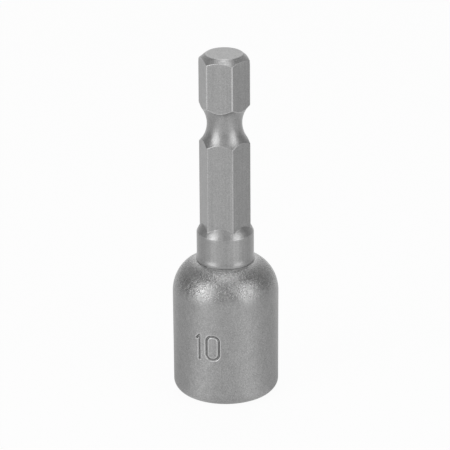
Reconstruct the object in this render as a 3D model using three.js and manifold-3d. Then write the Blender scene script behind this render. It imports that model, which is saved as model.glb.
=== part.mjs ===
// Magnetic nut setter for 10 mm hexagon heads. A quarter-inch hex drive shank is pressed into a domed
// socket, and a sprung pot magnet sits behind the nut. Millimetres, +Z up the axis, with the origin at
// the centre of the socket's mouth and a flat of both hexagons facing -Y.
import * as THREE from "three";
import { mergeVertices } from "three/addons/utils/BufferGeometryUtils.js";
import Module from "manifold-3d";

const wasm = await Module();
wasm.setup();

// Clearances between pieces, per side
const pressGap = 0.02; // pressed or glued pieces, line to line
const seatGap = 0.02; // faces that rest on each other
const slideGap = 0.08; // the magnet cup's flange in its bore
const ringGap = 0.05; // the snap ring in its groove
const passGap = 0.4; // the magnet cup inside the snap ring
const coilGap = 0.1; // the spring in its pocket
const stopGap = 0.15; // left above the magnet cup at full travel

// Socket shell
const nutFlats = 10.1; // across the flats of the socket's hexagon
const nutCornerFillet = 0.2; // rounding in the hexagon's corners
const nutHexDepth = 9; // mouth to the floor of the hexagon
const mouthLeadIn = 0.4; // chamfer that guides a nut in
const mouthWall = 1.538; // wall outside the hexagon's corners, at the mouth
const barrelDraft = 0.055; // how much the barrel's radius grows up to the dome
const rimLand = 0.06; // flat rim outside the hexagon's corners
const noseHeight = 1.5; // height of the rounded nose above the rim
const noseFullness = 1.82; // superellipse power of the nose: 1 is a chamfer, 2 a quarter ellipse
const domeWidth = 4.3; // elliptical arc between the barrel and the seam, across
const domeHeight = 4.94; // and along the axis
const neckLength = 5.34; // magnet bore to the seam, the length that the shank is pressed in

// Drive shank
const shankLength = 30.37; // seam to the end face
const driveFlats = 6.35; // across the flats of the drive hexagon
const driveCornerFillet = 0.25; // rounding of the hexagon's long edges
const endFaceDiameter = 5.1; // flat left inside the end chamfer
const endChamferAtFlat = 0.57; // chamfer's height in the middle of a flat
const endChamferAtCorner = 0.88; // chamfer's height at a corner
const grooveFromEnd = 10.13; // end face to the middle of the detent groove
const grooveDepth = 0.72; // below the flats
const grooveArcRadius = 4.08; // radius of the groove's section
const collarStep = 0.334; // collar beyond the hexagon's corners
const collarHeight = 4.18; // seam to the start of the shoulder
const shoulderHeight = 0.62; // lower, steeper cone of the shoulder
const shoulderTaper = 0.3; // how much that cone narrows, per side
const shoulderTopHeight = 0.7; // flatter cone above it, up to the flats
const footLand = 0.34; // straight foot on the seam
const footFlare = 0.12; // how far the foot stands out from the collar
const footFlareHeight = 0.56; // hollow between the foot and the collar
const spigotLeadIn = 0.3; // chamfer on the pressed end
const spigotWall = 1; // between the spring pocket and the flats
const springPocketDepth = 4;

// Sprung pot magnet
const boreStep = 1.15; // magnet bore inside the nut hexagon's flats
const ringLand = 0.5; // hexagon's floor to the snap ring's groove
const ringGrooveDepth = 0.45;
const ringThickness = 0.6;
const ringWidth = 0.95;
const ringOpening = 44; // degrees of the circle that the snap ring leaves open
const flangeThickness = 1.5;
const cupWall = 0.5;
const cupBase = 1.2; // behind the magnet
const cupEdge = 0.2; // chamfer on the cup's front edge
const sleeveWall = 0.3;
const magnetLength = 4.9;
const magnetRecess = 0.2; // magnet's face behind the cup's rim
const magnetEdge = 0.15; // chamfer on the magnet's edges
const magnetTravel = 2.5; // how far the cup can be pushed in
const springWire = 0.4;
const springTurns = 7;

// Fineness of the round surfaces
const facets = 48; // round every turned surface
const arcSteps = 8; // along each arc of a profile
const flatSteps = 4; // along each flat of a hexagon
const filletSteps = 2; // round each filleted corner
const coilSteps = 12; // for each turn of the spring
const wireSides = 6;

// Sizes that follow from those above
const cornerOf = (flats) => flats / Math.sqrt(3);
const rimRadius = cornerOf(nutFlats) + rimLand;
const mouthRadius = cornerOf(nutFlats) + mouthWall;
const barrelRadius = mouthRadius + barrelDraft;
const boreRadius = nutFlats / 2 - boreStep;
const collarRadius = cornerOf(driveFlats) + collarStep;
const footRadius = collarRadius + footFlare;
const pocketRadius = driveFlats / 2 - spigotWall;

const ringGrooveFloor = nutHexDepth + ringLand;
const ringBottom = ringGrooveFloor + seatGap;
const ringOuterRadius = boreRadius + ringGrooveDepth - ringGap;
const ringInnerRadius = ringOuterRadius - ringWidth;
const flangeBottom = ringBottom + ringThickness + seatGap;
const cupBack = flangeBottom + flangeThickness;
const cupLength = magnetRecess + magnetLength + seatGap + cupBase;
const cupRadius = ringInnerRadius - passGap;
const cupHollowRadius = cupRadius - cupWall;
const sleeveOuterRadius = cupHollowRadius - pressGap;
const sleeveInnerRadius = sleeveOuterRadius - sleeveWall;
const magnetRadius = sleeveInnerRadius - pressGap;
const boreEnd = cupBack + magnetTravel + stopGap;

const socketHeight = boreEnd + neckLength;
const shankSeat = socketHeight + seatGap;
const shankEnd = socketHeight + shankLength;
const spigotEnd = boreEnd + seatGap;
const pocketFloor = spigotEnd + springPocketDepth;

// Closed mesh to solid and back, for joining and cutting
function toSolid(geometry) {
  const bare = geometry.clone();
  bare.deleteAttribute("normal");
  bare.deleteAttribute("uv");
  const merged = mergeVertices(bare, 1e-5);
  return new wasm.Manifold(
    new wasm.Mesh({
      numProp: 3,
      vertProperties: merged.attributes.position.array,
      triVerts: new Uint32Array(merged.index.array),
    }),
  );
}

function toGeometry(solid) {
  const mesh = solid.getMesh();
  const geometry = new THREE.BufferGeometry();
  geometry.setAttribute("position", new THREE.BufferAttribute(mesh.vertProperties, 3));
  geometry.setIndex(new THREE.BufferAttribute(mesh.triVerts, 1));
  geometry.computeVertexNormals();
  return geometry;
}

// Solid of revolution about Z from a closed profile of (radius, height) points, given anticlockwise
function turned(points) {
  const geometry = new THREE.LatheGeometry([...points, points[0]], facets);
  return geometry.rotateX(Math.PI / 2);
}

function profile(...pairs) {
  return pairs.map(([radius, height]) => new THREE.Vector2(radius, height));
}

// Points along a circular or elliptical arc of a profile, angles in radians
function arc(centre, height, radialAxis, heightAxis, from, to) {
  const clockwise = to < from;
  const curve = new THREE.EllipseCurve(centre, height, radialAxis, heightAxis, from, to, clockwise);
  return curve.getPoints(arcSteps);
}

function polar(radius, angle) {
  return new THREE.Vector2(radius * Math.cos(angle), radius * Math.sin(angle));
}

// Outline of a hexagon with filleted corners and a flat facing -Y, as points running anticlockwise
function hexOutline(flats, fillet) {
  const sixth = Math.PI / 3;
  const filletCentre = cornerOf(flats) - fillet / Math.cos(sixth / 2);
  const onFillet = (corner, turn) =>
    polar(filletCentre, corner * sixth).add(polar(fillet, corner * sixth + turn));
  const points = [];
  for (let corner = 0; corner < 6; corner++) {
    for (let step = 0; step < filletSteps; step++) {
      points.push(onFillet(corner, (step / filletSteps - 0.5) * sixth));
    }
    const start = onFillet(corner, sixth / 2);
    const end = onFillet(corner + 1, -sixth / 2);
    for (let step = 0; step < flatSteps; step++) points.push(start.clone().lerp(end, step / flatSteps));
  }
  return points;
}

function hexRing(flats, fillet, height) {
  return hexOutline(flats, fillet).map((point) => new THREE.Vector3(point.x, point.y, height));
}

function middleOf(ring) {
  const sum = ring.reduce((total, point) => total.add(point), new THREE.Vector3());
  return sum.divideScalar(ring.length);
}

// Closed solid skinned over rings that have as many points each, from the lowest ring to the highest
function skinned(rings) {
  const count = rings[0].length;
  const vertices = [...rings.flat(), middleOf(rings[0]), middleOf(rings.at(-1))];
  const lowCentre = vertices.length - 2;
  const highCentre = vertices.length - 1;
  const highRing = (rings.length - 1) * count;
  const index = [];
  for (let i = 0; i < count; i++) {
    const j = (i + 1) % count;
    index.push(lowCentre, j, i, highCentre, highRing + i, highRing + j);
    for (let low = 0; low < highRing; low += count) {
      const high = low + count;
      index.push(low + i, low + j, high + j, low + i, high + j, high + i);
    }
  }
  return new THREE.BufferGeometry().setFromPoints(vertices).setIndex(index);
}

// Hexagon bar of the shank, from the pressed end up to the chamfered end face
function driveBar() {
  const outline = hexOutline(driveFlats, driveCornerFillet);
  const farthest = Math.max(...outline.map((point) => point.length()));
  const chamferStart = outline.map((point) => {
    const towardsCorner = (point.length() - driveFlats / 2) / (farthest - driveFlats / 2);
    const drop = THREE.MathUtils.lerp(endChamferAtFlat, endChamferAtCorner, towardsCorner);
    return new THREE.Vector3(point.x, point.y, shankEnd - drop);
  });
  const endFace = outline.map((point) => {
    const edge = point.clone().setLength(endFaceDiameter / 2);
    return new THREE.Vector3(edge.x, edge.y, shankEnd);
  });
  return skinned([
    hexRing(driveFlats - 2 * spigotLeadIn, driveCornerFillet, spigotEnd),
    hexRing(driveFlats, driveCornerFillet, spigotEnd + spigotLeadIn),
    chamferStart,
    endFace,
  ]);
}

// Round collar with a flared foot on the seam and a conical shoulder up to the flats
function collar() {
  const quarter = Math.PI / 2;
  const flareTop = shankSeat + footLand + footFlareHeight;
  const shoulderFoot = shankSeat + collarHeight;
  const shoulderBend = shoulderFoot + shoulderHeight;
  const shoulderEnd = shoulderBend + shoulderTopHeight;
  return turned([
    ...profile([0, shankSeat], [footRadius, shankSeat]),
    ...arc(footRadius, flareTop, footFlare, footFlareHeight, 3 * quarter, 2 * quarter),
    ...profile([collarRadius, shoulderFoot], [collarRadius - shoulderTaper, shoulderBend]),
    ...profile([driveFlats / 2, shoulderEnd], [0, shoulderEnd]),
  ]);
}

function driveShank() {
  const grooveRing = driveFlats / 2 - grooveDepth + grooveArcRadius;
  const groove = new THREE.TorusGeometry(grooveRing, grooveArcRadius, 6 * arcSteps, facets);
  groove.translate(0, 0, shankEnd - grooveFromEnd);
  const pocket = turned([
    ...profile([0, spigotEnd - springPocketDepth], [pocketRadius, spigotEnd - springPocketDepth]),
    ...profile([pocketRadius, pocketFloor], [0, pocketFloor]),
  ]);
  const solid = toSolid(driveBar()).add(toSolid(collar()));
  return toGeometry(solid.subtract(toSolid(groove)).subtract(toSolid(pocket)));
}

// Rounded nose of the socket, from the rim up to the barrel, as a superellipse
function noseCurve() {
  const width = mouthRadius - rimRadius;
  const points = [];
  for (let step = 0; step <= arcSteps; step++) {
    const angle = ((step / arcSteps) * Math.PI) / 2;
    const across = Math.sin(angle) ** (2 / noseFullness);
    const down = Math.cos(angle) ** (2 / noseFullness);
    points.push(new THREE.Vector2(rimRadius + width * across, noseHeight * (1 - down)));
  }
  return points;
}

// Domed shell with the nut hexagon, the stepped magnet bore and the hexagon hole for the shank
function socketBody() {
  const domeCentre = barrelRadius - domeWidth;
  const seamAngle = Math.acos((footRadius - domeCentre) / domeWidth);
  const domeStart = socketHeight - domeHeight * Math.sin(seamAngle);
  const grooveTop = ringGrooveFloor + ringThickness + 2 * seatGap;
  const grooveRadius = boreRadius + ringGrooveDepth;
  const leadInRadius = nutFlats / 2 + mouthLeadIn;
  const shell = turned([
    ...noseCurve(),
    ...arc(domeCentre, domeStart, domeWidth, domeHeight, 0, seamAngle),
    ...profile([0, socketHeight], [0, boreEnd], [boreRadius, boreEnd]),
    ...profile([boreRadius, grooveTop], [grooveRadius, grooveTop]),
    ...profile([grooveRadius, ringGrooveFloor], [boreRadius, ringGrooveFloor]),
    ...profile([boreRadius, leadInRadius - boreRadius], [leadInRadius, 0]),
  ]);
  const nutHex = skinned([
    hexRing(nutFlats, nutCornerFillet, -nutHexDepth),
    hexRing(nutFlats, nutCornerFillet, nutHexDepth),
  ]);
  const holeFlats = driveFlats + 2 * pressGap;
  const spigotHole = skinned([
    hexRing(holeFlats, driveCornerFillet, boreEnd - neckLength),
    hexRing(holeFlats, driveCornerFillet, socketHeight + neckLength),
  ]);
  return toGeometry(toSolid(shell).subtract(toSolid(nutHex)).subtract(toSolid(spigotHole)));
}

// Open snap ring that keeps the magnet cup in its bore, lying on z = 0
function retainingRing() {
  const start = THREE.MathUtils.degToRad(ringOpening / 2);
  const end = 2 * Math.PI - start;
  const shape = new THREE.Shape();
  shape.absarc(0, 0, ringOuterRadius, start, end, false);
  shape.absarc(0, 0, ringInnerRadius, end, start, true);
  return new THREE.ExtrudeGeometry(shape, {
    depth: ringThickness,
    bevelEnabled: false,
    curveSegments: facets,
  });
}

// Steel pot with a stop flange, its open front down and its back on z = 0
function magnetCup() {
  const flangeRadius = boreRadius - slideGap;
  return turned([
    ...profile([0, -cupBase], [cupHollowRadius, -cupBase], [cupHollowRadius, -cupLength]),
    ...profile([cupRadius - cupEdge, -cupLength], [cupRadius, cupEdge - cupLength]),
    ...profile([cupRadius, -flangeThickness], [flangeRadius, -flangeThickness]),
    ...profile([flangeRadius, 0], [0, 0]),
  ]);
}

// Permanent magnet, a plated cylinder with its back on z = 0
function magnet() {
  const faceRadius = magnetRadius - magnetEdge;
  return turned([
    ...profile([0, -magnetLength], [faceRadius, -magnetLength], [magnetRadius, magnetEdge - magnetLength]),
    ...profile([magnetRadius, -magnetEdge], [faceRadius, 0], [0, 0]),
  ]);
}

// Non-magnetic ring between the magnet and the pot, with its back on z = 0
function magnetSleeve() {
  return turned([
    ...profile([sleeveInnerRadius, -magnetLength], [sleeveOuterRadius, -magnetLength]),
    ...profile([sleeveOuterRadius, 0], [sleeveInnerRadius, 0]),
  ]);
}

// Centre line of the compression spring, from the cup's back on z = 0 to the pocket's floor
class Coil extends THREE.Curve {
  getPoint(share, target = new THREE.Vector3()) {
    const coilRadius = pocketRadius - coilGap - springWire / 2;
    const lift = seatGap + springWire / 2;
    const angle = share * springTurns * 2 * Math.PI;
    const height = THREE.MathUtils.lerp(lift, pocketFloor - cupBack - lift, share);
    return target.set(coilRadius * Math.cos(angle), coilRadius * Math.sin(angle), height);
  }
}

// Least gap between neighbouring turns, on points along the wire
function leastCoilGap(coil) {
  const count = springTurns * coilSteps;
  const points = Array.from({ length: count + 1 }, (_, i) => coil.getPoint(i / count));
  let least = Infinity;
  points.forEach((point, i) => {
    for (let j = i + coilSteps / 2; j <= count; j++) least = Math.min(least, point.distanceTo(points[j]));
  });
  return least - springWire;
}

function magnetSpring() {
  const coil = new Coil();
  console.log("least gap between the spring's turns:", leastCoilGap(coil).toFixed(3), "mm");
  const side = (2 * Math.PI) / wireSides;
  const section = Array.from({ length: wireSides }, (_, i) => polar(springWire / 2, i * side));
  return new THREE.ExtrudeGeometry(new THREE.Shape(section), {
    steps: springTurns * coilSteps,
    extrudePath: coil,
    bevelEnabled: false,
  });
}

// Finishes
const satinSteel = new THREE.MeshStandardMaterial({ color: 0x9c9c9a, roughness: 0.42, metalness: 1 });
const cupSteel = new THREE.MeshStandardMaterial({ color: 0x8d8e90, roughness: 0.35, metalness: 1 });
const platedMagnet = new THREE.MeshStandardMaterial({ color: 0xc4c2bc, roughness: 0.2, metalness: 1 });
const sleeveBrass = new THREE.MeshStandardMaterial({ color: 0xb89a55, roughness: 0.35, metalness: 1 });
const springSteel = new THREE.MeshStandardMaterial({ color: 0x77787a, roughness: 0.35, metalness: 1 });

function piece(name, geometry, material, height = 0) {
  const mesh = new THREE.Mesh(geometry, material);
  mesh.name = name;
  mesh.position.z = height;
  return mesh;
}

// The magnet, its sleeve and its cup slide together along the axis
const magnetCarriage = new THREE.Group();
magnetCarriage.position.z = cupBack;
magnetCarriage.add(
  piece("magnet_cup", magnetCup(), cupSteel),
  piece("magnet", magnet(), platedMagnet, -cupBase - seatGap),
  piece("magnet_sleeve", magnetSleeve(), sleeveBrass, -cupBase - seatGap),
);

const nutSetter = new THREE.Group();
nutSetter.add(
  piece("drive_shank", driveShank(), satinSteel),
  piece("socket_body", socketBody(), satinSteel),
  piece("retaining_ring", retainingRing(), springSteel, ringBottom),
  piece("magnet_spring", magnetSpring(), springSteel, cupBack),
  magnetCarriage,
);

export default nutSetter;
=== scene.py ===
import math

import bmesh
import bpy
import numpy as np
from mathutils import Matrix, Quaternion, Vector


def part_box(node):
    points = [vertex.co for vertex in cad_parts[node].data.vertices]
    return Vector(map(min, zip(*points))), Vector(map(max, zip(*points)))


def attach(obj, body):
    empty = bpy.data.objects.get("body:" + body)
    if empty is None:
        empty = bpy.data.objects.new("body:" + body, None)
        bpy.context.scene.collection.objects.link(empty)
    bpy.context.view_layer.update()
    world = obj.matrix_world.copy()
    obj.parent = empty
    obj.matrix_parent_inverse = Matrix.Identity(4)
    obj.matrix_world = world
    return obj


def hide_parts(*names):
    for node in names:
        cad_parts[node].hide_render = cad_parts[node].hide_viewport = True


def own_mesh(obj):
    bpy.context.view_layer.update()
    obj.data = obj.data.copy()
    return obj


# Magnetic nut setter: a satin steel hex shank pressed into a domed socket, with a sprung magnet inside.
# Sizes in the dictionaries are millimetres and degrees; the frame and the meshes are in metres.
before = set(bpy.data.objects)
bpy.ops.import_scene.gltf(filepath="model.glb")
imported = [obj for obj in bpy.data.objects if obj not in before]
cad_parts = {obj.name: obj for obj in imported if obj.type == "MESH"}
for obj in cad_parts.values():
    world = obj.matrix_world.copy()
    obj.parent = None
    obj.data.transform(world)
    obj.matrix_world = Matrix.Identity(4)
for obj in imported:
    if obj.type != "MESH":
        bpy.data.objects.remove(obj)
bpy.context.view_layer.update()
mm = 0.001
print("frame loaded:", sorted(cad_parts))


def top(node):
    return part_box(node)[1].z / mm


def bottom(node):
    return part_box(node)[0].z / mm


# outlines, as lists of (radius, height) or (radius, height, rounding)

def hexRadius(angles, flats, fillet):
    # distance from the axis to a hexagon with rounded corners, which point along 0, 60, 120 ...
    half = math.radians(30)
    fromCorner = np.abs((angles + half) % (2 * half) - half)
    onFlat = flats / 2 / np.cos(half - fromCorner)
    centre = flats / math.sqrt(3) - fillet / math.cos(half)
    tangent = math.atan2(fillet * math.sin(half), centre + fillet * math.cos(half))
    under = np.clip(fillet ** 2 - (centre * np.sin(fromCorner)) ** 2, 0, None)
    onFillet = centre * np.cos(fromCorner) + np.sqrt(under)
    return np.where(fromCorner < tangent, onFillet, onFlat)


def columnAngles(step, cornerOffsets, extra=()):
    # columns round the axis, closer together at the six hexagon corners
    plain = np.arange(0, 360, step)
    corners = [60 * corner + side * offset
               for corner in range(6) for offset in cornerOffsets for side in (-1, 1)]
    return np.radians(np.unique(np.round(np.concatenate([plain, corners, extra]) % 360, 3)))


def wall(radius, low, high, rings):
    return [(radius, height) for height in np.linspace(low, high, rings)]


def outlineRings(points, count, steps=4, guard=0.5):
    # a rounded corner becomes a short curve, with a guard ring past each end that keeps its neighbours flat
    spread = [np.stack([np.broadcast_to(value, count) for value in point[:2]]).astype(float)
              for point in points]
    rings = []
    for i, here in enumerate(spread):
        rounding = points[i][2] if len(points[i]) > 2 else 0
        if not rounding:
            rings.append(here)
            continue
        before = spread[i - 1] - here
        after = spread[(i + 1) % len(spread)] - here
        start = here + before / np.linalg.norm(before, axis=0) * rounding
        end = here + after / np.linalg.norm(after, axis=0) * rounding
        rings.append(start + (start - here) * guard)
        for t in np.linspace(0, 1, steps + 1):
            rings.append((1 - t) ** 2 * start + 2 * t * (1 - t) * here + t ** 2 * end)
        rings.append(end + (end - here) * guard)
    return rings


# meshes

def ringMesh(name, angles, rings, closed=False):
    # skin over rings of (radius, height); a first or last ring of radius 0 shrinks to a point on the axis
    onAxis = 1e-6
    count = len(angles)
    verts, starts, faces = [], [], []
    for radius, height in rings:
        starts.append(len(verts))
        if np.max(radius) < onAxis:
            verts.append((0.0, 0.0, float(np.mean(height)) * mm))
            continue
        ring = np.stack([radius * np.cos(angles), radius * np.sin(angles), height], axis=1) * mm
        verts.extend(map(tuple, ring.tolist()))
    sizes = np.diff(starts + [len(verts)])
    pairs = [(i, i + 1) for i in range(len(rings) - 1)]
    if closed:
        pairs.append((len(rings) - 1, 0))
    for low, high in pairs:
        for j in range(count):
            k = (j + 1) % count
            if sizes[low] == 1:
                faces.append((starts[low], starts[high] + k, starts[high] + j))
            elif sizes[high] == 1:
                faces.append((starts[low] + j, starts[low] + k, starts[high]))
            else:
                faces.append((starts[low] + j, starts[low] + k, starts[high] + k, starts[high] + j))
    return meshObject(name, verts, faces)


def sweepMesh(name, centres, sideways, upward, section, scales=None):
    # section points (a, b) carried along centres, a along sideways and b along upward, with flat ends
    sides = len(section)
    verts, faces = [], []
    for i, centre in enumerate(centres):
        scale = 1 if scales is None else scales[i]
        for a, b in section:
            verts.append(tuple((centre + (sideways[i] * a + upward[i] * b) * scale) * mm))
    for i in range(len(centres) - 1):
        for j in range(sides):
            k = (j + 1) % sides
            faces.append((i * sides + j, i * sides + k, (i + 1) * sides + k, (i + 1) * sides + j))
    faces.append(tuple(reversed(range(sides))))
    faces.append(tuple(range((len(centres) - 1) * sides, len(centres) * sides)))
    return meshObject(name, verts, faces)


def meshObject(name, verts, faces):
    mesh = bpy.data.meshes.new(name)
    mesh.from_pydata(verts, [], faces)
    piece = bpy.data.objects.new(name, mesh)
    bpy.context.scene.collection.objects.link(piece)
    finishMesh(mesh)
    return piece


# edges and wear, with painted sheen bands and painted shade in hollows

def smoothStep(share):
    return share * share * (3 - 2 * share)


def setValues(mesh, name, values):
    if name not in mesh.attributes:
        mesh.attributes.new(name, "FLOAT", "POINT")
    mesh.attributes[name].data.foreach_set("value", values.astype(np.float32))


wearAndShade = {
    "sharpAngle": 38,    # edges that turn more than this stay sharp
    "wornFrom": 0.9, "wornTo": 3.6,    # curvature per mm where edge wear starts and is full
    "hollowShadeFrom": 1.2, "hollowShadeTo": 6.0,    # the same for the painted shade in hollows
    "leastSpacing": 0.01,    # faces closer than this count as this far apart
}


def finishMesh(mesh):
    # smooth shading with sharp edges kept; "worn" edge wear and "hollowShade" painted shade follow how
    # tightly the surface turns
    cfg = wearAndShade
    bm = bmesh.new()
    bm.from_mesh(mesh)
    bmesh.ops.recalc_face_normals(bm, faces=bm.faces)
    turn = np.zeros((len(bm.verts), 2))
    for face in bm.faces:
        face.smooth = True
    for edge in bm.edges:
        if len(edge.link_faces) != 2:
            continue
        angle = edge.calc_face_angle_signed(0)
        edge.smooth = abs(angle) < math.radians(cfg["sharpAngle"])
        one, other = [face.calc_center_median() for face in edge.link_faces]
        curvature = angle / max((one - other).length / mm, cfg["leastSpacing"])
        for vert in edge.verts:
            turn[vert.index, 0] = max(turn[vert.index, 0], curvature)
            turn[vert.index, 1] = max(turn[vert.index, 1], -curvature)
    bm.to_mesh(mesh)
    bm.free()
    # the second column is the painted shade: a darkening where the surface turns inward
    for column, name in enumerate(("worn", "hollowShade")):
        low, high = cfg[name + "From"], cfg[name + "To"]
        setValues(mesh, name, smoothStep(np.clip((turn[:, column] - low) / (high - low), 0, 1)))


def wornValues(mesh):
    worn = np.zeros(len(mesh.vertices), np.float32)
    mesh.attributes["worn"].data.foreach_get("value", worn)
    return worn


def heightsOf(mesh):
    return np.array([vert.co.z for vert in mesh.vertices]) / mm


def paintSheenBand(mesh, height, reach, share):
    # painted sheen: a band near one height gets the bright worn-edge colour and a lower roughness
    paintedSheen = share * np.clip(1 - np.abs(heightsOf(mesh) - height) / reach, 0, 1)
    setValues(mesh, "worn", np.maximum(wornValues(mesh), paintedSheen))


def fadeWear(mesh, height, share):
    # less edge wear below one height
    worn = wornValues(mesh)
    setValues(mesh, "worn", np.where(heightsOf(mesh) < height, worn * share, worn))


def markCoarse(mesh, height, reach):
    # coarser blasting from one height up
    setValues(mesh, "coarse", np.clip((heightsOf(mesh) - height) / reach, 0, 1))


# shader nodes

def nodeMaterial(name):
    material = bpy.data.materials.new(name)
    material.use_nodes = True
    material.node_tree.nodes.clear()
    return material, material.node_tree


def addNode(tree, kind, **settings):
    node = tree.nodes.new(kind)
    for key, value in settings.items():
        if key in node.bl_rna.properties:
            setattr(node, key, value)
        else:
            node.inputs[key].default_value = value
    return node


def plug(tree, target, value):
    # a number or colour is set on the target socket itself, and an output is linked to it
    if isinstance(value, (int, float)):
        target.default_value = value
    elif isinstance(value, tuple):
        target.default_value = (*value, 1)
    else:
        tree.links.new(value, target)


grainNoise = {
    "tilt": (0.4, 0.7, 0.2),    # keeps the noise's own grid off the axes
    "roughness": 0.55,
}


def noiseAt(tree, place, scale, detail, stretch=(1, 1, 1), warp=0.0):
    # noise in object space, scale in grains per mm
    mapping = addNode(tree, "ShaderNodeMapping")
    mapping.inputs["Scale"].default_value = [s * scale / mm for s in stretch]
    mapping.inputs["Rotation"].default_value = grainNoise["tilt"]
    tree.links.new(place.outputs["Object"], mapping.inputs["Vector"])
    noise = addNode(tree, "ShaderNodeTexNoise", Scale=1.0, Detail=detail,
                    Roughness=grainNoise["roughness"], Distortion=warp)
    tree.links.new(mapping.outputs["Vector"], noise.inputs["Vector"])
    return noise.outputs["Fac"]


def remap(tree, value, low, high, outLow, outHigh):
    node = addNode(tree, "ShaderNodeMapRange")
    tree.links.new(value, node.inputs["Value"])
    for key, number in (("From Min", low), ("From Max", high), ("To Min", outLow), ("To Max", outHigh)):
        node.inputs[key].default_value = number
    return node.outputs["Result"]


def mathNode(tree, operation, *values):
    node = addNode(tree, "ShaderNodeMath", operation=operation)
    for target, value in zip(node.inputs, values):
        plug(tree, target, value)
    return node.outputs[0]


def mixColour(tree, factor, a, b, blend="MIX"):
    node = addNode(tree, "ShaderNodeMix", data_type="RGBA", blend_type=blend)
    for number, value in ((0, factor), (6, a), (7, b)):    # this node's factor and colour sockets
        plug(tree, node.inputs[number], value)
    return node.outputs[2]


def mixShader(tree, factor, a, b):
    node = addNode(tree, "ShaderNodeMixShader")
    plug(tree, node.inputs[0], factor)
    tree.links.new(a.outputs[0], node.inputs[1])
    tree.links.new(b.outputs[0], node.inputs[2])
    return node


def bumpNode(tree, height, depth, normal=None):
    node = addNode(tree, "ShaderNodeBump", Strength=1.0, Distance=depth * mm)
    tree.links.new(height, node.inputs["Height"])
    if normal is not None:
        tree.links.new(normal, node.inputs["Normal"])
    return node.outputs["Normal"]


def attributeNode(tree, name):
    return addNode(tree, "ShaderNodeAttribute", attribute_name=name).outputs["Fac"]


# materials

def metalMaterial(name, look):
    # plated or bare metal: mottled colour, blasted grain, drawing marks, bright worn edges with painted sheen
    # bands, and painted shade in hollows
    material, tree = nodeMaterial(name)

    def times(a, b):
        return mathNode(tree, "MULTIPLY", a, b)

    def less(a, b):
        return mathNode(tree, "SUBTRACT", a, b)

    def plus(a, b):
        return mathNode(tree, "ADD", a, b)

    place = addNode(tree, "ShaderNodeTexCoord")
    coarse, worn, hollowShade = [attributeNode(tree, kind) for kind in ("coarse", "worn", "hollowShade")]
    fine = noiseAt(tree, place, look["grainPerMm"], look["grainDetail"])
    rugged = noiseAt(tree, place, look["coarsePerMm"], look["coarseDetail"], warp=look["coarseWarp"])
    grain = plus(fine, times(less(rugged, fine), coarse))
    patch = noiseAt(tree, place, look["patchPerMm"], look["patchDetail"])
    marks = noiseAt(tree, place, look["marksPerMm"], look["marksDetail"], look["marksStretch"])
    low, high = look["noiseSpan"]
    edgeLow, edgeHigh = look["edgeSpan"]
    edge = times(worn, remap(tree, grain, edgeLow, edgeHigh, look["edgeLeast"], 1))

    dark = tuple(c * (1 - look["mottle"]) for c in look["colour"])
    light = tuple(c * (1 + look["mottle"]) for c in look["colour"])
    mottle = plus(times(patch, 1 - look["marksShare"]), times(marks, look["marksShare"]))
    colour = mixColour(tree, remap(tree, mottle, low, high, 0, 1), dark, light)
    speckle = remap(tree, grain, low, high, 1 - look["speckle"], 1 + look["speckle"])
    speckle = times(speckle, remap(tree, coarse, 0, 1, 1, look["coarseTone"]))
    colour = mixColour(tree, 1.0, colour, speckle, "MULTIPLY")
    # bright worn edges, and the painted sheen bands on the chamfer and under the seam, lighten the colour
    colour = mixColour(tree, times(edge, look["edgeShine"]), colour, look["edgeColour"])
    # painted shade: a dark colour mixed in where the surface turns into hollows, creases and stamped strokes
    colour = mixColour(tree, times(hollowShade, look["hollowShade"]), colour, look["hollowShadeColour"])

    rough = remap(tree, patch, low, high, look["roughness"] - look["roughSpread"],
                  look["roughness"] + look["roughSpread"])
    rough = less(less(rough, times(edge, look["edgeGloss"])), times(coarse, look["coarseGloss"]))

    depth = remap(tree, coarse, 0, 1, 1, look["coarseDepth"])
    normal = bumpNode(tree, marks, look["marksDepth"])
    normal = bumpNode(tree, times(grain, depth), look["grainDepth"], normal)

    shader = addNode(tree, "ShaderNodeBsdfPrincipled", Metallic=1.0)
    tree.links.new(colour, shader.inputs["Base Color"])
    tree.links.new(rough, shader.inputs["Roughness"])
    tree.links.new(normal, shader.inputs["Normal"])
    output = addNode(tree, "ShaderNodeOutputMaterial")
    tree.links.new(shader.outputs[0], output.inputs["Surface"])
    return material


blastedSteel = {
    "colour": (0.42, 0.42, 0.42), "mottle": 0.08, "speckle": 0.25,
    "roughness": 0.37, "roughSpread": 0.04,
    "noiseSpan": (0.3, 0.7),    # the part of the noise's range that shows
    "grainPerMm": 6.5, "grainDetail": 3, "grainDepth": 0.03,
    "coarsePerMm": 4.7, "coarseDetail": 1, "coarseWarp": 0.7,    # grain on the dome
    "coarseDepth": 1.95, "coarseTone": 0.95,    # factors on the grain's depth and on the colour
    "coarseGloss": 0.1,    # taken off the roughness
    "patchPerMm": 0.8, "patchDetail": 3,
    "marksPerMm": 2.0, "marksDetail": 2, "marksStretch": (1, 1, 0.4), "marksDepth": 0.006, "marksShare": 0.4,
    "edgeColour": (0.72, 0.72, 0.72), "edgeShine": 0.85, "edgeGloss": 0.08,
    "edgeSpan": (0.3, 0.6), "edgeLeast": 0.45,    # wear is patchy, and least where the grain is low
    # painted shade in hollows: its dark colour and how much of it is mixed in
    "hollowShadeColour": (0.08, 0.08, 0.08), "hollowShade": 0.6,
}
blastedMaterial = metalMaterial("blastedSteel", blastedSteel)

# drawn steel: finer marks, and less painted shade in hollows
drawnSteel = dict(blastedSteel, roughness=0.34, grainDepth=0.018, speckle=0.18, hollowShade=0.12,
                  marksPerMm=3.0, marksStretch=(1, 1, 0.03), marksShare=0.7)
drawnMaterial = metalMaterial("drawnSteel", drawnSteel)

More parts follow.
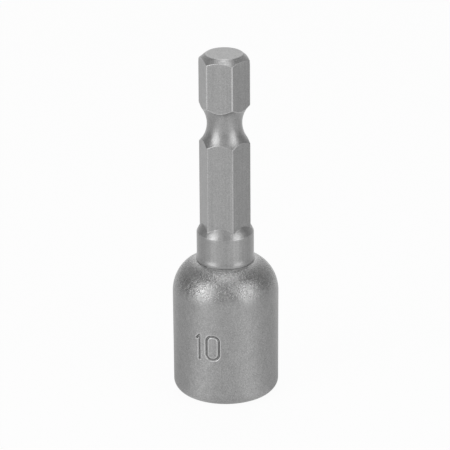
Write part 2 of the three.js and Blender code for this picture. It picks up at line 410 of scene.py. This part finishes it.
turnedSteel = dict(blastedSteel, colour=(0.36, 0.36, 0.37), roughness=0.28, grainDepth=0.002,
                   marksPerMm=6.0, marksStretch=(0.05, 0.05, 1), marksDepth=0.004)
cupMaterial = metalMaterial("turnedSteel", turnedSteel)

nickelPlate = dict(blastedSteel, colour=(0.62, 0.60, 0.55), roughness=0.16, mottle=0.04, grainDepth=0.001,
                   marksStretch=(1, 0.2, 1), marksDepth=0.001, edgeColour=(0.75, 0.73, 0.68))
magnetMaterial = metalMaterial("nickelPlate", nickelPlate)

# turned brass, with a brown painted shade in its hollows
turnedBrass = dict(blastedSteel, colour=(0.55, 0.40, 0.14), roughness=0.30, grainDepth=0.002,
                   marksPerMm=6.0, marksStretch=(0.05, 0.05, 1), marksDepth=0.003,
                   edgeColour=(0.75, 0.58, 0.25), hollowShadeColour=(0.14, 0.09, 0.03))
sleeveMaterial = metalMaterial("turnedBrass", turnedBrass)

springWire = dict(blastedSteel, colour=(0.22, 0.22, 0.23), roughness=0.30, mottle=0.12, grainDepth=0.001,
                  marksDepth=0.001, edgeShine=0.3)
springMaterial = metalMaterial("springWire", springWire)
print("materials made")


def finishPiece(piece, body, node, material):
    piece.data.materials.append(material)
    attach(piece, body)
    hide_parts(node)
    print("made", piece.name, len(piece.data.polygons), "faces")


# drive shank

shank = {
    "flats": 6.35, "cornerFillet": 0.25,
    "endRadius": 2.55, "chamferAtFlat": 0.55, "chamferAtCorner": 0.88, "cornerWear": 0.03,
    "grooveFromEnd": 10.13, "waistRadius": 2.455, "grooveArc": 4.08,
    "collarRadius": 4.0, "collarHeight": 4.18, "seatGap": 0.02,
    "shoulder": ((4.0, 0.0, 0.08), (3.7, 0.62, 0.25), (3.175, 1.32, 0)),    # radius, rise and rounding
    "footRadius": 4.12, "footLand": 0.34, "flareHeight": 0.56, "flarePower": 1.35,
    "spigotLeadIn": 0.3, "pocketRadius": 2.175, "pocketDepth": 4.0,
    "endRound": 0.16, "edgeRound": 0.05, "lipRound": 0.012, "landRound": 0.1,
    # chamferShine sets a painted sheen band that lightens the whole end chamfer
    "wearBelowGroove": 0.5, "chamferShine": 0.25,
    # where the columns and rings of the mesh lie: degrees, mm, shares of a slope, and counts
    "columnStep": 2.5, "cornerColumns": (0, 0.6, 1.2, 1.8, 2.4, 3.2, 4.4),
    "flareFrom": 0.3, "flareRings": 8,
    "aboveSeat": 1.3, "belowShoulder": 0.4, "collarRings": 5,
    "slopeShares": (0, 0.04, 0.09, 0.16, 0.27, 0.4, 0.55, 0.7, 0.8, 0.88, 0.94, 0.98), "slopeSteps": 6,
    "aboveSlope": (0.06, 0.14, 0.4),
    "aboveShoulder": 2.0, "shaftRings": 6, "clearOfGroove": 3.4, "belowEnd": 1.5, "headRings": 5,
    "grooveShare": 0.9, "grooveRings": 25,
    "chamferShares": (0.25, 0.5, 0.75), "faceShares": (0.85, 0.6, 0.3, 0),
}


def collarOutline(seat, shoulderFoot):
    # short land on the seam, hollow flare, straight wall
    cfg = shank
    landTop = seat + cfg["footLand"]
    flare = cfg["footRadius"] - cfg["collarRadius"]
    outline = [(cfg["footRadius"], seat, cfg["lipRound"]), (cfg["footRadius"], landTop, cfg["landRound"])]
    outline += [(cfg["collarRadius"] + flare * (1 - t) ** cfg["flarePower"], landTop + cfg["flareHeight"] * t)
                for t in np.linspace(cfg["flareFrom"], 1, cfg["flareRings"])]
    return outline + wall(cfg["collarRadius"], seat + cfg["aboveSeat"],
                          shoulderFoot - cfg["belowShoulder"], cfg["collarRings"])


def shoulderOutline(hexagon, shoulderFoot):
    # sloping shoulder, which stops where it meets the flats
    cfg = shank
    below = (cfg["collarRadius"], -cfg["belowShoulder"])
    slope = outlineRings([below, *cfg["shoulder"]], 1, cfg["slopeSteps"])[1:]
    slopeRadius = -np.array([ring[0, 0] for ring in slope])
    slopeHeight = np.array([ring[1, 0] for ring in slope]) + shoulderFoot
    outline = []
    for share in cfg["slopeShares"]:
        radius = cfg["collarRadius"] + (hexagon - cfg["collarRadius"]) * share
        outline.append((radius, np.interp(-radius, slopeRadius, slopeHeight)))
    meeting = np.interp(-hexagon, slopeRadius, slopeHeight)
    return outline + [(hexagon, meeting + rise) for rise in cfg["aboveSlope"]]


def grooveOutline(hexagon, groove):
    # detent groove, whose edges arch across the flats
    cfg = shank
    arc = cfg["grooveArc"]
    arcCentre = cfg["waistRadius"] + arc
    reach = np.arccos((arcCentre - hexagon) / arc)
    edge = arc * np.sin(reach)
    outline = [(hexagon, groove - edge, cfg["edgeRound"])]
    for share in np.linspace(-cfg["grooveShare"], cfg["grooveShare"], cfg["grooveRings"]):
        outline.append((arcCentre - arc * np.cos(reach * share), groove + arc * np.sin(reach * share)))
    return outline + [(hexagon, groove + edge, cfg["edgeRound"])]


def endOutline(hexagon, end):
    # end chamfer, a cone between the hexagon and the round end face
    cfg = shank
    half = cfg["flats"] / 2
    share = (hexagon - half) / (hexagon.max() - half)
    drop = cfg["chamferAtFlat"] + (cfg["chamferAtCorner"] - cfg["chamferAtFlat"]) * share
    worn = hexagon - cfg["cornerWear"] * share
    face = np.full(len(hexagon), cfg["endRadius"])
    outline = [(worn, end - drop, cfg["edgeRound"])]
    outline += [(worn + (face - worn) * step, end - drop * (1 - step)) for step in cfg["chamferShares"]]
    outline.append((face, end, cfg["endRound"]))
    return outline + [(face * inward, end) for inward in cfg["faceShares"]]


def makeShank():
    cfg = shank
    end = top("drive_shank")
    spigot = bottom("drive_shank")
    seat = top("socket_body") + cfg["seatGap"]
    shoulderFoot = seat + cfg["collarHeight"]
    groove = end - cfg["grooveFromEnd"]
    pocketFloor = spigot + cfg["pocketDepth"]
    leadIn = cfg["spigotLeadIn"]
    clear = cfg["clearOfGroove"]
    angles = columnAngles(cfg["columnStep"], cfg["cornerColumns"])
    hexagon = hexRadius(angles, cfg["flats"], cfg["cornerFillet"])

    outline = [(0, pocketFloor), (cfg["pocketRadius"], pocketFloor), (cfg["pocketRadius"], spigot),
               (hexagon - leadIn, spigot), (hexagon, spigot + leadIn), (hexagon, seat)]
    outline += collarOutline(seat, shoulderFoot)
    outline += shoulderOutline(hexagon, shoulderFoot)
    outline += wall(hexagon, shoulderFoot + cfg["aboveShoulder"], groove - clear, cfg["shaftRings"])
    outline += grooveOutline(hexagon, groove)
    outline += wall(hexagon, groove + clear, end - cfg["belowEnd"], cfg["headRings"])
    outline += endOutline(hexagon, end)

    piece = ringMesh("shank", angles, outlineRings(outline, len(angles)))
    fadeWear(piece.data, groove, cfg["wearBelowGroove"])
    # painted sheen: the end chamfer's colour is lightened all round
    chamferMiddle = cfg["chamferAtCorner"] / 2
    paintSheenBand(piece.data, end - chamferMiddle, chamferMiddle, cfg["chamferShine"])
    finishPiece(piece, "tool", "drive_shank", drawnMaterial)


makeShank()


# socket shell with its size number

socket = {
    "barrelRadius": 7.424, "mouthRadius": 7.369, "rimRadius": 5.891,
    "noseHeight": 1.5, "noseFullness": 1.82,
    "domeWidth": 4.3, "domeHeight": 4.94, "seamRadius": 4.12,
    "nutFlats": 10.1, "nutFillet": 0.2, "nutDepth": 9.0, "leadIn": 0.4, "leadInLeast": 0.06,
    "boreRadius": 3.9, "boreEnd": 14.29, "ringGroove": (9.5, 10.14, 4.35),    # low, high and radius
    "holeFlats": 6.39, "holeFillet": 0.25,
    # the seam's reach and shine values set a painted sheen band on the dome just under the seam
    "edgeRound": 0.05, "mouthRound": 0.02, "seamRound": 0.02, "seamSheenReach": 0.4, "seamShine": 0.75,
    "coarseBelowDome": 1.5, "coarseFade": 3.5,
    # where the columns and rings of the mesh lie: degrees, mm and counts
    "columnStep": 2.5, "cornerColumns": (0, 0.35, 0.7, 1.1, 1.6, 2.6),
    "noseRings": 17, "aboveNose": 0.4, "besideMark": 0.6, "barrelRings": 4, "domeRings": 27,
    "besideBore": 0.5, "nutFrom": 7.5, "nutTo": 1.5, "nutRings": 4,
}
sizeMark = {
    "baseline": 7.1, "height": 3.8, "stroke": 0.16, "depth": 0.18, "lip": 0.014,
    "oneAt": -107.4, "zeroAt": -91.9,    # angles round the barrel
    "flag": 0.4, "zeroWidth": 1.8, "zeroRound": 0.9,    # the rounding as a share of half the width
    "cutFrom": 0.35, "cutOver": 0.95, "lipAt": 1.75, "lipOver": 0.4,    # from the line's middle, in strokes
    "grid": 0.055, "margin": 0.55,
}


def lineDistance(along, height, start, end):
    (ax, az), (bx, bz) = start, end
    share = ((along - ax) * (bx - ax) + (height - az) * (bz - az)) / ((bx - ax) ** 2 + (bz - az) ** 2)
    t = np.clip(share, 0, 1)
    return np.hypot(along - ax - t * (bx - ax), height - az - t * (bz - az))


def markDepth(along, height):
    # how far the stamped 1 and 0 sink below the barrel, with a slight raised lip
    # along is the arc length from the middle of the 0
    cfg = sizeMark
    stroke = cfg["stroke"]
    low = cfg["baseline"] + stroke
    high = cfg["baseline"] + cfg["height"] - stroke
    one = math.radians(cfg["oneAt"] - cfg["zeroAt"]) * socket["barrelRadius"]
    bar = np.minimum(lineDistance(along, height, (one, low), (one, high)),
                     lineDistance(along, height, (one, high), (one - cfg["flag"], high - cfg["flag"])))
    halfWidth = cfg["zeroWidth"] / 2
    corner = halfWidth * cfg["zeroRound"]
    across = np.abs(along) - (halfWidth - corner)
    updown = np.abs(height - (low + high) / 2) - ((high - low) / 2 - corner)
    inside = np.minimum(np.maximum(across, updown), 0)
    loop = np.abs(np.hypot(np.maximum(across, 0), np.maximum(updown, 0)) + inside - corner)
    near = np.minimum(bar, loop)
    cut = np.clip((near - stroke * cfg["cutFrom"]) / (stroke * cfg["cutOver"]), 0, 1)
    lip = np.exp(-((near - stroke * cfg["lipAt"]) / (stroke * cfg["lipOver"])) ** 2)
    return -cfg["depth"] * (1 - smoothStep(cut)) + cfg["lip"] * lip


def socketAngles():
    # even columns, closer at the nut's corners and across the stamped number
    cfg, mark = socket, sizeMark
    spread = math.degrees((mark["zeroWidth"] / 2 + mark["margin"]) / cfg["barrelRadius"])
    lead = math.degrees((mark["flag"] + mark["margin"]) / cfg["barrelRadius"])
    step = math.degrees(mark["grid"] / cfg["barrelRadius"])
    fine = np.arange(mark["oneAt"] - lead, mark["zeroAt"] + spread, step)
    return columnAngles(cfg["columnStep"], cfg["cornerColumns"], fine)


def noseOutline():
    # superellipse from the rim up
    cfg = socket
    turn = np.radians(np.linspace(0, 90, cfg["noseRings"]))
    power = 2 / cfg["noseFullness"]
    width = cfg["mouthRadius"] - cfg["rimRadius"]
    return [(cfg["rimRadius"] + width * math.sin(a) ** power, cfg["noseHeight"] * (1 - math.cos(a) ** power))
            for a in turn[1:]]


def barrelOutline(angles, domeStart):
    # slightly tapered wall with the stamped number
    cfg, mark = socket, sizeMark
    fromZero = (angles - math.radians(mark["zeroAt"]) + math.pi) % (2 * math.pi) - math.pi
    along = fromZero * cfg["barrelRadius"]
    markLow = mark["baseline"] - mark["margin"]
    markTop = mark["baseline"] + mark["height"] + mark["margin"]
    gap, count = cfg["besideMark"], cfg["barrelRings"]
    heights = np.concatenate([np.linspace(cfg["noseHeight"] + cfg["aboveNose"], markLow - gap, count),
                              np.arange(markLow, markTop, mark["grid"]),
                              np.linspace(markTop + gap, domeStart - gap, count)])
    outline = []
    for height in heights:
        taper = (height - cfg["noseHeight"]) / (domeStart - cfg["noseHeight"])
        plain = cfg["mouthRadius"] + (cfg["barrelRadius"] - cfg["mouthRadius"]) * taper
        outline.append((plain + markDepth(along, height), height))
    return outline


def domeOutline(domeCentre, domeStart, seamTurn):
    # ellipse that stops at the seam
    cfg = socket
    return [(domeCentre + cfg["domeWidth"] * np.cos(a), domeStart + cfg["domeHeight"] * np.sin(a))
            for a in np.linspace(0, seamTurn, cfg["domeRings"])[:-1]]


def insideOutline(angles, seam):
    # down the shank's hole, the magnet's bore with the snap ring's groove, and the nut hexagon to the rim
    cfg = socket
    hole = hexRadius(angles, cfg["holeFlats"], cfg["holeFillet"])
    nut = hexRadius(angles, cfg["nutFlats"], cfg["nutFillet"])
    low, high, deep = cfg["ringGroove"]
    bore, floor, edge = cfg["boreRadius"], cfg["nutDepth"], cfg["edgeRound"]
    outline = [(hole, seam), (hole, cfg["boreEnd"]), (bore, cfg["boreEnd"]),
               (bore, high), (deep, high), (deep, low), (bore, low),
               (bore, floor, edge), (bore + cfg["besideBore"], floor), (nut, floor, edge)]
    outline += wall(nut, cfg["nutFrom"], cfg["nutTo"], cfg["nutRings"])
    least, rounding = cfg["leadInLeast"], cfg["mouthRound"]
    mouth = np.maximum(cfg["nutFlats"] / 2 + cfg["leadIn"], nut + least)
    return outline + [(nut, np.maximum(mouth - nut, least), rounding), (mouth, 0, rounding),
                      (cfg["rimRadius"], 0, rounding)]


def makeSocket():
    cfg = socket
    seam = top("socket_body")
    domeCentre = cfg["barrelRadius"] - cfg["domeWidth"]
    seamTurn = math.acos((cfg["seamRadius"] - domeCentre) / cfg["domeWidth"])
    domeStart = seam - cfg["domeHeight"] * math.sin(seamTurn)
    angles = socketAngles()
    outline = noseOutline() + barrelOutline(angles, domeStart)
    outline += domeOutline(domeCentre, domeStart, seamTurn)
    outline.append((cfg["seamRadius"], seam, cfg["seamRound"]))
    outline += insideOutline(angles, seam)

    piece = ringMesh("socket", angles, outlineRings(outline, len(angles)), closed=True)
    # painted sheen: the dome's colour is lightened in a band just under the seam
    paintSheenBand(piece.data, seam, cfg["seamSheenReach"], cfg["seamShine"])
    markCoarse(piece.data, domeStart - cfg["coarseBelowDome"], cfg["coarseFade"])
    finishPiece(piece, "tool", "socket_body", blastedMaterial)


makeSocket()


# magnet cup, magnet and sleeve, which slide together

turning = {"columnStep": 3.0}
cup = {
    "radius": 2.95, "flangeRadius": 3.82, "flangeThickness": 1.5, "hollowRadius": 2.45, "base": 1.2,
    "frontEdge": 0.2, "edgeRound": 0.06, "backRing": 0.5,
}
magnet = {"edgeRound": 0.15, "faceRing": 0.6}    # the ring on each face, as a share of the radius
sleeve = {"innerRadius": 2.13, "outerRadius": 2.43, "edgeRound": 0.05, "wallRing": 1}


def turnedPiece(name, outline, node, material, closed=False):
    angles = np.radians(np.arange(0, 360, turning["columnStep"]))
    piece = ringMesh(name, angles, outlineRings(outline, len(angles)), closed)
    finishPiece(piece, "magnet_carriage", node, material)


def makeMagnetCup():
    cfg = cup
    front, back = bottom("magnet_cup"), top("magnet_cup")
    radius, flange, hollow = cfg["radius"], cfg["flangeRadius"], cfg["hollowRadius"]
    edge, lead = cfg["edgeRound"], cfg["frontEdge"]
    hollowEnd = back - cfg["base"]
    flangeFront = back - cfg["flangeThickness"]
    turnedPiece("magnetCup", [
        (0, hollowEnd), (hollow, hollowEnd), (hollow, front, edge),
        (radius - lead, front, edge), (radius, front + lead, edge),
        (radius, flangeFront), (flange, flangeFront, edge),
        (flange, back, edge), (flange - cfg["backRing"], back), (0, back),
    ], "magnet_cup", cupMaterial)


def makeMagnet():
    cfg = magnet
    front, back = bottom("magnet"), top("magnet")
    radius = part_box("magnet")[1].x / mm
    inner = radius * cfg["faceRing"]
    turnedPiece("magnetCore", [
        (0, front), (inner, front), (radius, front, cfg["edgeRound"]),
        (radius, back, cfg["edgeRound"]), (inner, back), (0, back),
    ], "magnet", magnetMaterial)


def makeSleeve():
    cfg = sleeve
    front, back = bottom("magnet_sleeve"), top("magnet_sleeve")
    inner, outer, edge = cfg["innerRadius"], cfg["outerRadius"], cfg["edgeRound"]
    turnedPiece("magnetSleeve", [
        (inner, front, edge), (outer, front, edge), (outer, back, edge), (inner, back, edge),
        (inner, front + cfg["wallRing"]),
    ], "magnet_sleeve", sleeveMaterial, closed=True)


makeMagnetCup()
makeMagnet()
makeSleeve()


# spring behind the cup, and the snap ring that the cup rests on

spring = {
    "wire": 0.4, "coilRadius": 1.875, "turns": 7, "travel": 2.5,
    "endTurn": 0.06,    # how much closer the end coils lie
    "perTurn": 40, "wireSides": 14,
}
snapRing = {
    "outerRadius": 4.3, "innerRadius": 3.35, "opening": 44, "corner": 0.14, "steps": 110, "cornerSteps": 5,
    "tipAngles": (0.6, 1.6), "tipScales": (0.78, 0.95),    # how the cut ends are rounded off
}


def makeSpring():
    cfg = spring
    wire = cfg["wire"] / 2
    low, high = bottom("magnet_spring") + wire, top("magnet_spring") - wire
    count = cfg["turns"] * cfg["perTurn"]
    turn = np.linspace(0, cfg["turns"], count + 1)
    share = turn / cfg["turns"]
    lead = share - cfg["endTurn"] * np.sin(2 * np.pi * share)    # coils lie closer at both ends
    height = low + (high - low) * lead
    angle = 2 * np.pi * turn
    outward = [Vector((math.cos(a), math.sin(a), 0)) for a in angle]
    centres = [Vector((cfg["coilRadius"] * math.cos(a), cfg["coilRadius"] * math.sin(a), z))
               for a, z in zip(angle, height)]
    along = [(centres[min(i + 1, count)] - centres[max(i - 1, 0)]).normalized() for i in range(count + 1)]
    upward = [a.cross(o).normalized() for a, o in zip(along, outward)]
    section = [(wire * math.cos(s), wire * math.sin(s))
               for s in np.linspace(0, 2 * np.pi, cfg["wireSides"], endpoint=False)]
    piece = sweepMesh("magnetSpring", centres, outward, upward, section)
    finishPiece(piece, "tool", "magnet_spring", springMaterial)
    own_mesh(piece)


def makeSnapRing():
    cfg = snapRing
    low, high = bottom("retaining_ring"), top("retaining_ring")
    middle = (cfg["outerRadius"] + cfg["innerRadius"]) / 2
    halfWidth = (cfg["outerRadius"] - cfg["innerRadius"]) / 2
    halfThick = (high - low) / 2
    corner = cfg["corner"]
    section = []
    for signA, signB, start in ((1, 1, 0), (-1, 1, 90), (-1, -1, 180), (1, -1, 270)):
        for a in np.radians(np.linspace(start, start + 90, cfg["cornerSteps"])):
            section.append((signA * (halfWidth - corner) + corner * math.cos(a),
                            signB * (halfThick - corner) + corner * math.sin(a)))
    turn = np.radians(np.linspace(cfg["opening"] / 2, 360 - cfg["opening"] / 2, cfg["steps"]))
    tips = np.radians(cfg["tipAngles"])
    turn = np.concatenate([[turn[0]], turn[0] + tips, turn[2:-2], turn[-1] - tips[::-1], [turn[-1]]])
    scales = np.ones(len(turn))
    for i, scale in enumerate(cfg["tipScales"]):
        scales[[i, -1 - i]] = scale
    outward = [Vector((math.cos(a), math.sin(a), 0)) for a in turn]
    centres = [Vector((middle * math.cos(a), middle * math.sin(a), (low + high) / 2)) for a in turn]
    upward = [Vector((0, 0, 1))] * len(turn)
    piece = sweepMesh("snapRing", centres, outward, upward, section, scales)
    finishPiece(piece, "tool", "retaining_ring", springMaterial)


makeSpring()
makeSnapRing()


# stage, lights and camera

view = {
    "azimuth": 12.8, "elevation": 22.04, "distance": 494, "aimHeight": 24.64, "roll": -0.37,
    "lens": 283.5, "sensor": 36, "sideShift": -0.0004,
    "clip": (0.01, 50),    # in metres
}
stage = {
    "floorSize": 4.0,    # in metres
    "seenColour": (0.95, 0.95, 0.95), "seenGlow": 0.95,
    "mirrorShare": 0.25,    # how much of the white background the metal mirrors
    "bounceColour": (0.72, 0.72, 0.72), "bounceRoughness": 0.3, "bounceGlow": 0.45,
    "bounceLevels": [(0, 0.72), (40, 1.18), (75, 0.46), (110, 0.45), (145, 1.0), (180, 1.4)],
}
studio = {
    "softboxes": [    # azimuth from the camera, elevation, distance, width, height, brightness
        (-53, 22, 520, 300, 440, 1.75),
        (53, 22, 520, 300, 440, 1.28),
    ],
    # azimuth from the camera and brightness, as in the floor's bounceLevels
    "roomLevels": [(0, 0.4), (40, 0.42), (75, 0.12), (110, 0.1), (145, 0.34), (180, 1.0)],
    "overhead": 2.5, "overheadFrom": 62,
}


def around(azimuth, elevation, distance):
    a, e = math.radians(azimuth), math.radians(elevation)
    aim = Vector((0, 0, view["aimHeight"] * mm))
    return aim + Vector((math.sin(a) * math.cos(e), -math.cos(a) * math.cos(e), math.sin(e))) * distance * mm


def aimed(thing, location, roll=0):
    toward = Vector((0, 0, view["aimHeight"] * mm)) - location
    turn = toward.to_track_quat("-Z", "Y") @ Quaternion((0, 0, 1), math.radians(roll))
    thing.location = location
    thing.rotation_euler = turn.to_euler()
    bpy.context.scene.collection.objects.link(thing)


def makeCamera():
    camera = bpy.data.cameras.new("photoCamera")
    camera.sensor_width = view["sensor"]
    camera.lens = view["lens"]
    camera.shift_x = view["sideShift"]
    camera.clip_start, camera.clip_end = view["clip"]
    thing = bpy.data.objects.new("photoCamera", camera)
    aimed(thing, around(view["azimuth"], view["elevation"], view["distance"]), view["roll"])
    bpy.context.scene.camera = thing


def azimuthLevels(tree, direction, levels):
    # brightness by azimuth, 0 towards the camera and 180 behind, the same left and right
    a = math.radians(view["azimuth"])
    parts = []
    for axis in ((math.cos(a), math.sin(a), 0), (math.sin(a), -math.cos(a), 0)):
        part = addNode(tree, "ShaderNodeVectorMath", operation="DOT_PRODUCT")
        part.inputs[1].default_value = axis
        tree.links.new(direction, part.inputs[0])
        parts.append(part.outputs["Value"])
    turn = mathNode(tree, "ARCTAN2", mathNode(tree, "ABSOLUTE", parts[0]), parts[1])
    brightest = max(level for azimuth, level in levels)
    ramp = addNode(tree, "ShaderNodeValToRGB")
    while len(ramp.color_ramp.elements) < len(levels):
        ramp.color_ramp.elements.new(0.5)
    for element, (azimuth, level) in zip(ramp.color_ramp.elements, levels):
        element.position = azimuth / 180
        element.color = (*[level / brightest] * 3, 1)
    tree.links.new(mathNode(tree, "DIVIDE", turn, math.pi), ramp.inputs["Fac"])
    return mixColour(tree, 1.0, ramp.outputs["Color"], (brightest,) * 3, "MULTIPLY")


def whiteShare(tree):
    # the white background fills the camera's view, and takes part in what the metal mirrors
    light = addNode(tree, "ShaderNodeLightPath").outputs
    mirrored = mathNode(tree, "MAXIMUM", light["Is Glossy Ray"], light["Is Transmission Ray"])
    mirrored = mathNode(tree, "MULTIPLY", mirrored, stage["mirrorShare"])
    return mathNode(tree, "MAXIMUM", light["Is Camera Ray"], mirrored)


def makeFloor():
    half = stage["floorSize"] / 2
    corners = [(-half, -half, 0), (half, -half, 0), (half, half, 0), (-half, half, 0)]
    floor = meshObject("floor", corners, [(0, 1, 2, 3)])
    material, tree = nodeMaterial("paleFloor")
    matt = addNode(tree, "ShaderNodeBsdfDiffuse")
    plug(tree, matt.inputs["Color"], stage["seenColour"])
    glow = addNode(tree, "ShaderNodeEmission", Strength=1.0)
    seen = mixShader(tree, stage["seenGlow"], matt, glow)
    sheet = addNode(tree, "ShaderNodeBsdfPrincipled", Roughness=stage["bounceRoughness"])
    plug(tree, sheet.inputs["Base Color"], stage["bounceColour"])
    bounceGlow = addNode(tree, "ShaderNodeEmission", Strength=1.0)
    place = addNode(tree, "ShaderNodeNewGeometry")
    levels = azimuthLevels(tree, place.outputs["Position"], stage["bounceLevels"])
    tree.links.new(levels, bounceGlow.inputs["Color"])
    bounce = mixShader(tree, stage["bounceGlow"], sheet, bounceGlow)
    mix = mixShader(tree, whiteShare(tree), bounce, seen)
    clear = addNode(tree, "ShaderNodeBsdfTransparent")
    through = mixShader(tree, place.outputs["Backfacing"], mix, clear)    # clear when seen from below
    output = addNode(tree, "ShaderNodeOutputMaterial")
    tree.links.new(through.outputs[0], output.inputs["Surface"])
    floor.data.materials.append(material)


def makeLights():
    for number, (azimuth, elevation, distance, width, height, brightness) in enumerate(studio["softboxes"]):
        light = bpy.data.lights.new(f"softbox{number}", "AREA")
        light.shape = "RECTANGLE"
        light.size = width * mm
        light.size_y = height * mm
        light.energy = brightness * math.pi * width * height * mm * mm
        aimed(bpy.data.objects.new(light.name, light), around(view["azimuth"] + azimuth, elevation, distance))


def makeRoom():
    # white to the camera; for the metal a studio, pale behind it, darker at its sides and bright overhead
    world = bpy.data.worlds.new("studioRoom")
    world.use_nodes = True
    bpy.context.scene.world = world
    tree = world.node_tree
    tree.nodes.clear()
    direction = addNode(tree, "ShaderNodeTexCoord").outputs["Generated"]
    walls = azimuthLevels(tree, direction, studio["roomLevels"])
    split = addNode(tree, "ShaderNodeSeparateXYZ")
    tree.links.new(direction, split.inputs[0])
    rise = mathNode(tree, "ARCSINE", split.outputs["Z"])
    above = remap(tree, rise, math.radians(studio["overheadFrom"]), math.radians(90), 0, 1)
    room = mixColour(tree, above, walls, (studio["overhead"],) * 3)
    colour = mixColour(tree, whiteShare(tree), room, (1, 1, 1))
    background = addNode(tree, "ShaderNodeBackground", Strength=1.0)
    tree.links.new(colour, background.inputs["Color"])
    output = addNode(tree, "ShaderNodeOutputWorld")
    tree.links.new(background.outputs[0], output.inputs["Surface"])


makeCamera()
makeFloor()
makeLights()
makeRoom()
bpy.context.scene.view_settings.view_transform = "Standard"
print("stage, lights and camera made")
